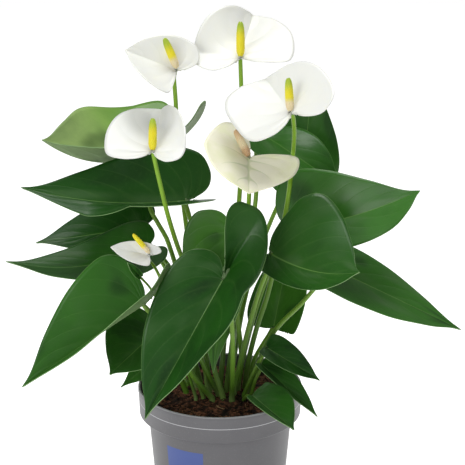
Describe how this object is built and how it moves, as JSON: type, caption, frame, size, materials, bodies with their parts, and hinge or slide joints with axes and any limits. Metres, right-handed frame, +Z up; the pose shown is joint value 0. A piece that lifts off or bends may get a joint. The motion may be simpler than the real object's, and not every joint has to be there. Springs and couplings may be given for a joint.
{
  "type": "potted anthurium",
  "caption": "Flowering anthurium in a round plastic pot, with heart-shaped leaves and white spathes on long stalks.",
  "frame": {"origin": "middle of the pot's flat underside, on the surface it stands on", "axes": "+Z up along the pot's axis, -Y towards the plant's front as pictured, +X to its right"},
  "size_m": [0.3522, 0.2143, 0.412],
  "materials": {
    "leaf": "satin",
    "petiole": "satin",
    "spathe": "satin",
    "spadix": "matte",
    "pot": "satin",
    "soil": "matte"
  },
  "bodies": {
    "root": {"leaf_back_upright": "leaf", "leaf_centre_hanging": "leaf", "leaf_front_large": "leaf", "leaf_left_back": "leaf", "leaf_left_broad": "leaf", "leaf_left_long": "leaf", "leaf_low_left_shaded": "leaf", "leaf_low_left_small": "leaf", "leaf_lower_left_large": "leaf", "leaf_right_heart": "leaf", "leaf_right_low": "leaf", "leaf_right_shaded": "leaf", "leaf_right_small": "leaf", "leaf_right_upper": "leaf", "leaf_rim_right": "leaf", "leaf_top_right": "leaf", "leaf_top_right_back": "leaf", "leaf_upper_left": "leaf", "leaf_young": "leaf", "peduncle_front_left": "petiole", "peduncle_middle": "petiole", "peduncle_right": "petiole", "peduncle_small_left": "petiole", "peduncle_top": "petiole", "peduncle_top_left": "petiole", "petiole_back_upright": "petiole", "petiole_centre_hanging": "petiole", "petiole_front_large": "petiole", "petiole_left_back": "petiole", "petiole_left_broad": "petiole", "petiole_left_long": "petiole", "petiole_low_left_shaded": "petiole", "petiole_low_left_small": "petiole", "petiole_lower_left_large": "petiole", "petiole_right_heart": "petiole", "petiole_right_low": "petiole", "petiole_right_shaded": "petiole", "petiole_right_small": "petiole", "petiole_right_upper": "petiole", "petiole_rim_right": "petiole", "petiole_top_right": "petiole", "petiole_top_right_back": "petiole", "petiole_upper_left": "petiole", "petiole_young": "petiole", "pot": "pot", "soil": "soil", "spadix_front_left": "spadix", "spadix_middle": "spadix", "spadix_right": "spadix", "spadix_small_left": "spadix", "spadix_top": "spadix", "spadix_top_left": "spadix", "spathe_front_left": "spathe", "spathe_middle": "spathe", "spathe_right": "spathe", "spathe_small_left": "spathe", "spathe_top": "spathe", "spathe_top_left": "spathe"}
  },
  "joints": []
}
